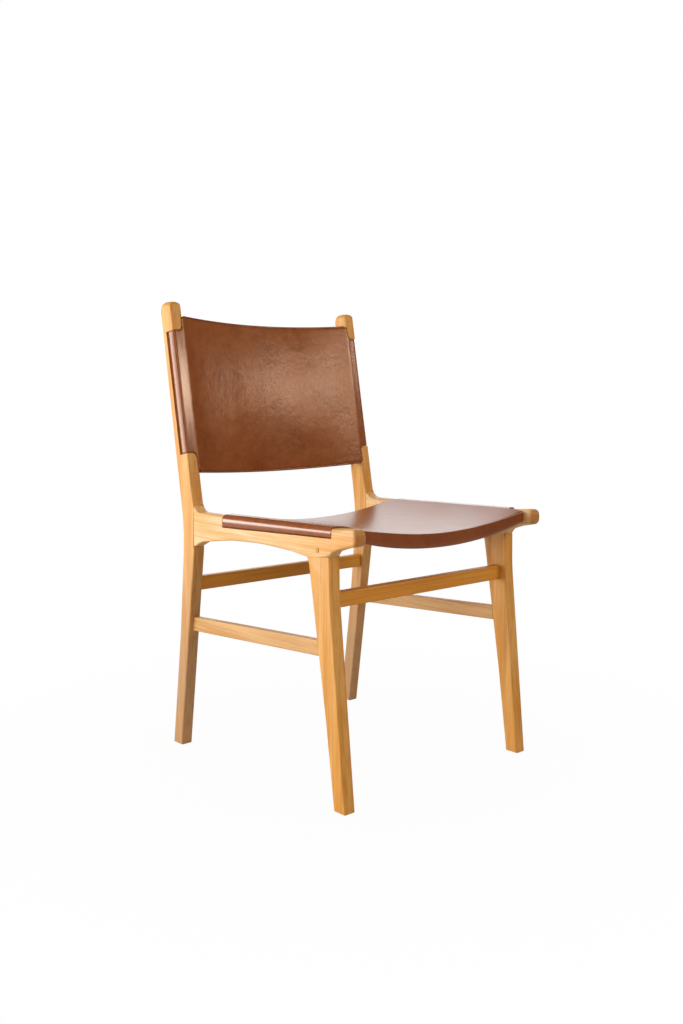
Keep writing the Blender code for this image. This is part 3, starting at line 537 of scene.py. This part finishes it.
class Sling:
    """A padded leather panel that hangs between two bars.

    locate turns a distance across, one along the bars and a drop below them into a place.
    rounding is the radius of the bars' outer edges, which the cover goes over.
    sag is how far the cover hangs in the middle, droop how far its corners hang at its first
    free end, and bulge how far the filling swells it.
    depths are those of the lining below the cover, in the middle and at the sides, and
    under_bend is the power by which they change.
    free and wrap are where the panel and its strips on the bars' outer faces start and end, and
    strips are those strips' heights at both ends.
    dip is the hollow in the free ends, and notch_start is where their notches start.
    seed sets the unevenness.
    """

    rest = BED_EDGE
    tangent = rest - REST_EASE
    under_edge = INNER_FACE - SLOT_PASS - LINING_INSET

    def __init__(
        self, locate, rounding, sag, droop, bulge, depths, under_bend, free, wrap, strips,
        dip, notch_start, seed,
    ):
        self.locate = locate
        self.rounding = rounding
        self.sag = sag
        self.droop = droop
        self.bulge = bulge
        self.depths = depths
        self.under_bend = under_bend
        self.free = free
        self.wrap = wrap
        self.strips = strips
        self.dip = dip
        self.notch_start = notch_start
        self.seed = seed
        self.curve = sag / (self.tangent * self.rest)

    def strip(self, along):
        share = (along - self.wrap[0]) / (self.wrap[1] - self.wrap[0])
        return between(*self.strips, share)

    def ripple(self, across, along):
        """Unevenness of the hide over its filling, none where it lies on the bars."""
        share = min(max((INNER_FACE - abs(across)) / UNEVEN_FADE, 0), 1)
        share = share * share * (3 - 2 * share)
        broad = BROAD_HEIGHT * waviness(across, along, BROAD_RATE, self.seed)
        small = SMALL_HEIGHT * waviness(across, along, SMALL_RATE, self.seed + SMALL_SEED)
        middle = 2 * (along - self.free[0]) / (self.free[1] - self.free[0]) - 1
        swell = self.bulge * max(0, 1 - middle ** 2)
        return share * (broad + small - swell)

    def corner_drop(self, across, along):
        """How far the panel droops at a place near the corners of its first free end."""
        loose = max(0, (self.wrap[0] - along) / (self.wrap[0] - self.free[0]))
        return self.droop * loose ** 2 * (across / self.rest) ** DROOP_BEND

    def front_drop(self, across, along):
        droop = self.corner_drop(across, along)
        across = abs(across)
        if across < self.tangent:
            return self.sag - self.curve * across ** 2 + droop
        ease = max(0, self.rest - across) ** 2 / (self.rest - self.tangent)
        return self.curve * self.tangent * ease + droop

    def back_drop(self, across, along):
        share = (abs(across) / self.under_edge) ** self.under_bend
        return self.front_drop(across, along) + between(*self.depths, share)

    def free_ends(self, across):
        dip = self.dip * max(0, 1 - (across / self.notch_start) ** 2)
        return self.free[0] - dip, self.free[1] - dip

    def notched(self, across, free, wrapped):
        """An end of the cover: free, round a corner, then in a hollow to the bar."""
        room = abs(wrapped - free)
        toward = (wrapped - free) / room
        share = min(1, room / (NOTCH_CORNER + NOTCH_HOLLOW))
        corner = NOTCH_CORNER * share
        hollow = NOTCH_HOLLOW * share
        beyond = abs(across) - self.notch_start
        if beyond < NOTCH_PASS / 2:
            reach = min(max(beyond + corner, 0), corner)
            return free + toward * (corner - math.sqrt(corner ** 2 - reach ** 2))
        reach = min(max(hollow + NOTCH_PASS - beyond, 0), hollow)
        return wrapped - toward * (hollow - math.sqrt(hollow ** 2 - reach ** 2))

    def wrap_ends(self, across):
        start, end = self.free_ends(across)
        start = self.notched(across, start + LEATHER + GAP, self.wrap[0])
        end = self.notched(across, end - LEATHER - GAP, self.wrap[1])
        return start, end

    def wrap_path(self):
        """The cover's outer face across the chair, as (across, share of the strip's height)."""
        crest = SIDE_FACE - self.rounding
        corner_start = self.notch_start - NOTCH_CORNER
        hollow_start = self.notch_start + NOTCH_PASS
        places = [corner_start * step / BED_STEPS for step in range(BED_STEPS)]
        turns = [RIGHT_ANGLE * step / NOTCH_STEPS for step in range(NOTCH_STEPS + 1)]
        places += [corner_start + NOTCH_CORNER * math.sin(turn) for turn in turns]
        places += [hollow_start + NOTCH_HOLLOW * (1 - math.cos(turn)) for turn in turns]
        shares = [step / CREST_STEPS for step in range(1, CREST_STEPS + 1)]
        places += [between(places[-1], crest, share) for share in shares]
        path = [(across, 0) for across in places]
        reach = self.rounding + STRIP_SWELL
        turn = math.pi - math.asin((self.rounding - SLOT_ROUNDING) / reach)
        for step in range(1, STRIP_STEPS + 1):
            angle = turn * step / STRIP_STEPS
            share = (1 - math.cos(angle)) / (1 - math.cos(turn))
            path.append((crest + reach * math.sin(angle), share))
        path.append((INNER_FACE - SLOT_PASS, 1))
        mirrored = [(-across, share) for across, share in reversed(path[1:])]
        return mirrored + path

    def wrap_drop(self, across, share, along):
        return share * self.strip(along) if share > 0 else self.front_drop(across, along)

    def cover(self):
        path = self.wrap_path()

        def place(column, row):
            across, share = path[column]
            start, end = self.wrap_ends(SIDE_FACE if share > 0 else across)
            along = between(start, end, row / COVER_ROWS)
            drop = self.wrap_drop(across, share, along)
            if share == 0:
                drop += self.ripple(across, along)
            return self.locate(across, along, drop)

        return hide_sheet(len(path) - 1, COVER_ROWS, place, flip=False)

    def lining(self):
        across_places = stations(self.under_edge)
        hem = BAND_ROLL + BAND_FLANGE + GAP

        def place(column, row):
            across = across_places[column]
            start, end = self.free_ends(across)
            along = between(start + hem, end - hem, row / LINING_ROWS)
            return self.locate(across, along, self.back_drop(across, along))

        return hide_sheet(len(across_places) - 1, LINING_ROWS, place, flip=True)

    def band_profile(self):
        """Rows of a band as (inset, rise, share).

        On the flat edge the rise is None and the share runs down it. Past that edge the rise is
        the height over the roll's lowest line.
        """
        profile = [(0.0, None, step / EDGE_STEPS) for step in range(EDGE_STEPS)]
        for step in range(ROLL_STEPS + 1):
            angle = RIGHT_ANGLE * step / ROLL_STEPS
            inset = BAND_ROLL * (1 - math.cos(angle))
            profile.append((inset, BAND_ROLL * (1 - math.sin(angle)), 1))
        for step in range(1, FLANGE_STEPS + 1):
            profile.append((BAND_ROLL + BAND_FLANGE * step / FLANGE_STEPS, 0, 1))
        return profile

    def band(self, end):
        """The leather that closes the panel's first end, or with end at 1 its second one."""
        toward = 1 if end else -1
        across_places = stations(INNER_FACE - BAND_INSET)
        profile = self.band_profile()

        def place(column, row):
            across = across_places[column]
            edge = self.free_ends(across)[end]
            inset, rise, share = profile[row]
            top = self.front_drop(across, edge) + self.ripple(across, edge)
            low = self.back_drop(across, edge - toward * inset)
            if rise is None:
                return self.locate(across, edge, between(top, low - BAND_ROLL, share))
            return self.locate(across, edge - toward * inset, low - rise)

        return hide_sheet(len(across_places) - 1, len(profile) - 1, place, flip=toward < 0)

    def pad_place(self, u, v, w):
        """A place in the space between the leathers, for a point of a cube of size 1."""
        across = (INNER_FACE - PAD_INSET) * math.sin(RIGHT_ANGLE * u * 2)
        start, end = self.free_ends(across)
        along = between(start + LEATHER + GAP, end - LEATHER - GAP, v + 0.5)
        skin = LEATHER + PAD_GAP
        top_slope = 2 * self.curve * abs(across)
        reach = abs(across) / self.under_edge
        widening = (self.depths[1] - self.depths[0]) * self.under_bend / self.under_edge
        low_slope = top_slope - widening * reach ** (self.under_bend - 1)
        top = self.front_drop(across, along) + self.ripple(across, along)
        top += skin * math.hypot(1, top_slope)
        edge_distance = min(v + 0.5, 0.5 - v) * (end - start)
        low = self.back_drop(across, along) - skin * math.hypot(1, low_slope)
        low -= max(0, PAD_EDGE - edge_distance)
        return self.locate(across, along, between(low, top, w + 0.5))

    def pad(self):
        deselect_all()
        bpy.ops.mesh.primitive_cube_add(size=1)
        piece = bpy.context.active_object
        bpy.ops.object.mode_set(mode="EDIT")
        bpy.ops.mesh.select_all(action="SELECT")
        bpy.ops.mesh.subdivide(number_cuts=PAD_CUTS)
        bpy.ops.object.mode_set(mode="OBJECT")
        for vertex in piece.data.vertices:
            vertex.co = self.pad_place(*vertex.co)
        weld(piece)
        bpy.ops.object.shade_smooth_by_angle(angle=LEATHER_CREASE)
        return piece


def stations(half_width):
    """Places across a panel, closer together towards its sides."""
    steps = range(-PANEL_STEPS, PANEL_STEPS + 1)
    return [half_width * math.sin(RIGHT_ANGLE * step / PANEL_STEPS) for step in steps]


def hide_sheet(columns, rows, place, flip):
    """A piece of hide over a grid of places, with its cut edges softened."""
    deselect_all()
    bpy.ops.mesh.primitive_grid_add(x_subdivisions=columns, y_subdivisions=rows, size=2)
    piece = bpy.context.active_object
    for vertex in piece.data.vertices:
        column = round((vertex.co.x + 1) / 2 * columns)
        row = round((vertex.co.y + 1) / 2 * rows)
        vertex.co = place(column, row)
    if flip:
        bpy.ops.object.mode_set(mode="EDIT")
        bpy.ops.mesh.select_all(action="SELECT")
        bpy.ops.mesh.flip_normals()
        bpy.ops.object.mode_set(mode="OBJECT")
    shell = piece.modifiers.new("thickness", "SOLIDIFY")
    shell.thickness = LEATHER
    shell.offset = -1
    shell.use_even_offset = True
    edge = piece.modifiers.new("cut_edges", "BEVEL")
    edge.limit_method = "ANGLE"
    edge.angle_limit = CUT_ANGLE
    edge.width = CUT_EDGE
    edge.segments = 2
    apply_all(piece)
    bpy.ops.object.shade_smooth_by_angle(angle=LEATHER_CREASE)
    return piece


def flat_size(sling):
    """Width and length that the cover is cut from, and the area that is left of them."""
    width = 0
    area = 0
    path = sling.wrap_path()
    middle = between(*sling.wrap, 0.5)
    for first, second in zip(path, path[1:]):
        drops = [sling.wrap_drop(*point, middle) for point in (first, second)]
        step = math.hypot(second[0] - first[0], drops[1] - drops[0])
        start, end = sling.wrap_ends(SIDE_FACE if first[1] > 0 else first[0])
        width += step
        area += step * (end - start)
    return width, sling.free[1] - sling.free[0], area


SEAT = Sling(
    locate=seat_place,
    rounding=0.009,
    sag=0.0245,
    droop=0.005,
    bulge=0.0,
    depths=(0.0255, 0.0205),
    under_bend=4.0,
    free=(-0.008, 0.337),
    wrap=(0.033, 0.326),
    strips=(0.0189, 0.0238),
    dip=0.0,
    notch_start=INNER_FACE - SEAT_NOTCH_INSET,
    seed=1.0,
)
BACK = Sling(
    locate=back_place,
    rounding=0.006,
    sag=0.028,
    droop=0.0,
    bulge=0.006,
    depths=(0.014, 0.0205),
    under_bend=3.0,
    free=(BACK_BOTTOM, BACK_TOP),
    wrap=(BACK_STRIP_BOTTOM, BACK_STRIP_TOP),
    strips=(0.0215, 0.0215),
    dip=0.0035,
    notch_start=INNER_FACE + BACK_NOTCH_PASS,
    seed=9.0,
)

# Hides
DEEP = (0.225, 0.055, 0.010, 1.0)
TAN = (0.360, 0.106, 0.025, 1.0)
BAND_DEEP = (0.200, 0.044, 0.007, 1.0)
BAND_TAN = (0.280, 0.075, 0.015, 1.0)
SEAT_COAT_START = SIDE_FACE - 0.008
BACK_COAT_START = INNER_FACE - 0.0002

seat_hide = leather(
    "seat_hide", DEEP, TAN, shift=(0.3, 0.1, 0.2), wear=0.35, relief=0.25,
    coat=1.0, coat_start=SEAT_COAT_START,
)
# The back's cover carries a painted shade on its rolls round the posts
back_hide = leather(
    "back_hide", DEEP, TAN, shift=(0.7, 0.4, 0.5), wear=0.60, relief=1.0, gloss=0.16,
    rim=0.7, coat=0.35, coat_start=BACK_COAT_START,
)
band_hide = leather(
    "band_hide", BAND_DEEP, BAND_TAN, shift=(0.1, 0.9, 0.4), wear=0.5, relief=0.3, gloss=0.30,
    shine=0.2, coat=0.5, coat_roughness=0.22,
)
rear_hide = leather("rear_hide", DEEP, TAN, shift=(0.9, 0.2, 0.8), wear=0.4, relief=0.6)

# Panels: word, sling, cover's hide, the three nodes that they stand for and the bars' names
SLINGS = (
    (
        "seat", SEAT, seat_hide,
        ("seat_leather_upper", "seat_leather_lower", "seat_pad"), "timber_seat_rail_",
    ),
    (
        "back", BACK, back_hide,
        ("back_leather_front", "back_leather_rear", "back_pad"), "timber_back_leg_",
    ),
)
for word, sling, hide, (cover_node, lining_node, pad_node), bar in SLINGS:
    pad = settle(sling.pad(), word + "_filling", felt(word + "_felt"), "pad", pad_node)
    cover = settle(sling.cover(), word + "_cover", hide, "leather", cover_node)
    width, length, area = flat_size(sling)
    holders = [bar + "left", bar + "right", word + "_filling"]
    lining = settle(sling.lining(), word + "_lining", rear_hide, "leather", lining_node)
    lining_flat = (LINING_WIDTH, length - LINING_SHORTER)
    word + "_filling"

BANDS = (
    ("seat_band_front", SEAT, 0, "seat_edge_front"),
    ("seat_band_rear", SEAT, 1, "seat_edge_rear"),
    ("back_band_lower", BACK, 0, "back_edge_bottom"),
    ("back_band_upper", BACK, 1, "back_edge_top"),
)
for name, sling, end, node in BANDS:
    settle(sling.band(end), name, band_hide, "edge_leather", node)


# Floor, light and camera
WHITE = (1.0, 1.0, 1.0)
WARM = (1.0, 0.88, 0.73)
PLAIN = (1.0, 1.0, 1.0, 1.0)
AMBIENT = 0.15
FLOOR_SIZE = 60
FLOOR_GREY = (0.62, 0.62, 0.62, 1.0)
FLOOR_FADE = (0.3, 1.0)
NEAR_WHITE = 0.97


def studio_floor():
    """A plain floor, white to the camera but for a trace of shadow near the chair."""
    deselect_all()
    bpy.ops.mesh.primitive_plane_add(size=FLOOR_SIZE, location=(0, 0, 0))
    floor = bpy.context.active_object
    floor.name = "studio_floor"
    surface = Surface("studio_floor")
    surface.finish(Base_Color=FLOOR_GREY, Roughness=0.9, Specular_IOR_Level=0.0)
    place = surface.add("ShaderNodeTexCoord", {}, output="Object")
    distance = surface.add("ShaderNodeVectorMath", {"operation": "LENGTH"}, place, output="Value")
    white = between(NEAR_WHITE, 1.0, distance.within(*FLOOR_FADE)) * surface.camera_ray()
    shaded = Value(surface, surface.shader.outputs[0])
    glow = surface.add("ShaderNodeEmission", {}, PLAIN, 1.0)
    mixed = surface.add("ShaderNodeMixShader", {}, white, shaded, glow)
    surface.feed(surface.tree.nodes["Material Output"].inputs["Surface"], mixed)
    floor.data.materials.append(surface.material)


def studio_world():
    """Weak light from all round, which the camera sees as white."""
    world = bpy.data.worlds.new("studio")
    bpy.context.scene.world = world
    world.use_nodes = True
    sky = Board(world.node_tree)
    sky.tree.nodes.clear()
    light = sky.add("ShaderNodeBackground", {}, PLAIN, AMBIENT)
    backdrop = sky.add("ShaderNodeBackground", {}, PLAIN, 1.0)
    mixed = sky.add("ShaderNodeMixShader", {}, sky.camera_ray(), light, backdrop)
    output = sky.tree.nodes.new("ShaderNodeOutputWorld")
    sky.feed(output.inputs["Surface"], mixed)


def softbox(name, place, aim, size, power, tint):
    data = bpy.data.lights.new(name, "AREA")
    data.color = tint
    data.shape = "RECTANGLE"
    data.size, data.size_y = size
    data.energy = power
    lamp = bpy.data.objects.new(name, data)
    lamp.location = place
    lamp.rotation_euler = (Vector(aim) - Vector(place)).to_track_quat("-Z", "Y").to_euler()
    lamp.visible_camera = False
    bpy.context.scene.collection.objects.link(lamp)


# Lamps: name, place, the point that they aim at, size, watts and tint
SOFTBOXES = (
    ("key_left", (-2.7, 0.9, 0.95), (0, 0, 0.35), (2.0, 1.8), 57, WHITE),
    ("sheen_left", (-2.6, 2.8, 0.75), (0, 0, 0.45), (2.2, 1.3), 56, WHITE),
    ("fill_front", (-2.2, -2.6, 1.7), (0, 0, 0.45), (1.8, 1.8), 22, WARM),
    ("glow_right", (1.42, -2.3, 1.64), (0, 0.2, 0.69), (1.8, 0.24), 27, WARM),
    ("rear_right", (2.3, 2.6, 1.45), (0, 0, 0.45), (2.4, 1.7), 27, WHITE),
    ("top", (-0.2, -0.3, 3.2), (0, 0, 0.4), (2.2, 2.2), 20, WHITE),
)
studio_floor()
studio_world()
for lamp in SOFTBOXES:
    softbox(*lamp)

# Camera at the photograph's angle
CAMERA_PLACE = (-1.3183, -1.1853 + ORIGIN_DEPTH, 0.6681)
LENS = 36.432
NEAR_CLIP = 0.05
YAW = math.radians(42.2907)
PITCH = math.radians(6.2205)
ROLL = math.radians(0.0347)

ahead = Vector((math.sin(YAW), math.cos(YAW), 0))
forward = ahead * math.cos(PITCH) - Vector((0, 0, math.sin(PITCH)))
level = Vector((math.cos(YAW), -math.sin(YAW), 0))
upright = level.cross(forward)
right = level * math.cos(ROLL) + upright * math.sin(ROLL)
up = upright * math.cos(ROLL) - level * math.sin(ROLL)
camera_data = bpy.data.cameras.new("camera")
camera_data.lens = LENS
camera_data.clip_start = NEAR_CLIP
camera = bpy.data.objects.new("camera", camera_data)
bpy.context.scene.collection.objects.link(camera)
turn = Matrix((right, up, -forward)).transposed().to_4x4()
camera.matrix_world = Matrix.Translation(CAMERA_PLACE) @ turn
bpy.context.scene.camera = camera
bpy.context.scene.view_settings.view_transform = "Standard"
